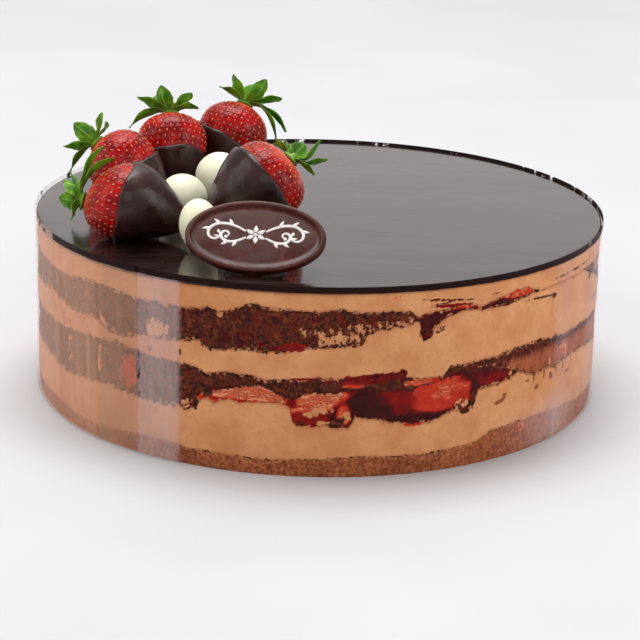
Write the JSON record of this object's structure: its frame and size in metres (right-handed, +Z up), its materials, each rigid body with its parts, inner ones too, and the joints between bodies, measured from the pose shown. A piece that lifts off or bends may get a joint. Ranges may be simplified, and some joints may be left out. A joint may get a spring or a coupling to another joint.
{
  "type": "chocolate strawberry mousse cake",
  "caption": "Round layered mousse cake under a dark glaze in a clear film collar, topped with chocolate-dipped strawberries, white chocolate balls and a leaning oval plaque.",
  "frame": {"origin": "middle of the cake's flat underside", "axes": "+Z up; -Y is the side that the toppings' plaque faces; the toppings stand towards -X"},
  "size_m": [0.2304, 0.2304, 0.1152],
  "materials": {
    "base": "matt, crumbly",
    "mousse": "satin, with fine pores",
    "sponge": "matt, open crumb",
    "filling": "wet gloss",
    "chocolate": "high gloss",
    "plaque": "soft sheen",
    "white": "soft sheen",
    "berry": "wet gloss with seeds",
    "leaf": "satin",
    "film": "clear and glossy"
  },
  "bodies": {
    "root": {"base_sponge": "base", "berry_front_left": "berry", "berry_front_right": "berry", "berry_middle": "berry", "berry_rear_left": "berry", "berry_rear_right": "berry", "calyx_front_left": "leaf", "calyx_front_right": "leaf", "calyx_middle": "leaf", "calyx_rear_left": "leaf", "calyx_rear_right": "leaf", "chocolate_glaze": "chocolate", "chocolate_plaque": "plaque", "clear_collar": "film", "dip_front_left": "chocolate", "dip_front_right": "chocolate", "dip_middle": "chocolate", "dip_rear_left": "chocolate", "dip_rear_right": "chocolate", "filling_seam": "filling", "lower_mousse": "mousse", "lower_sponge": "sponge", "plaque_dab": "chocolate", "strawberry_filling": "filling", "upper_mousse": "mousse", "upper_sponge": "sponge", "white_ball_1": "white", "white_ball_2": "white", "white_ball_3": "white"}
  },
  "joints": []
}
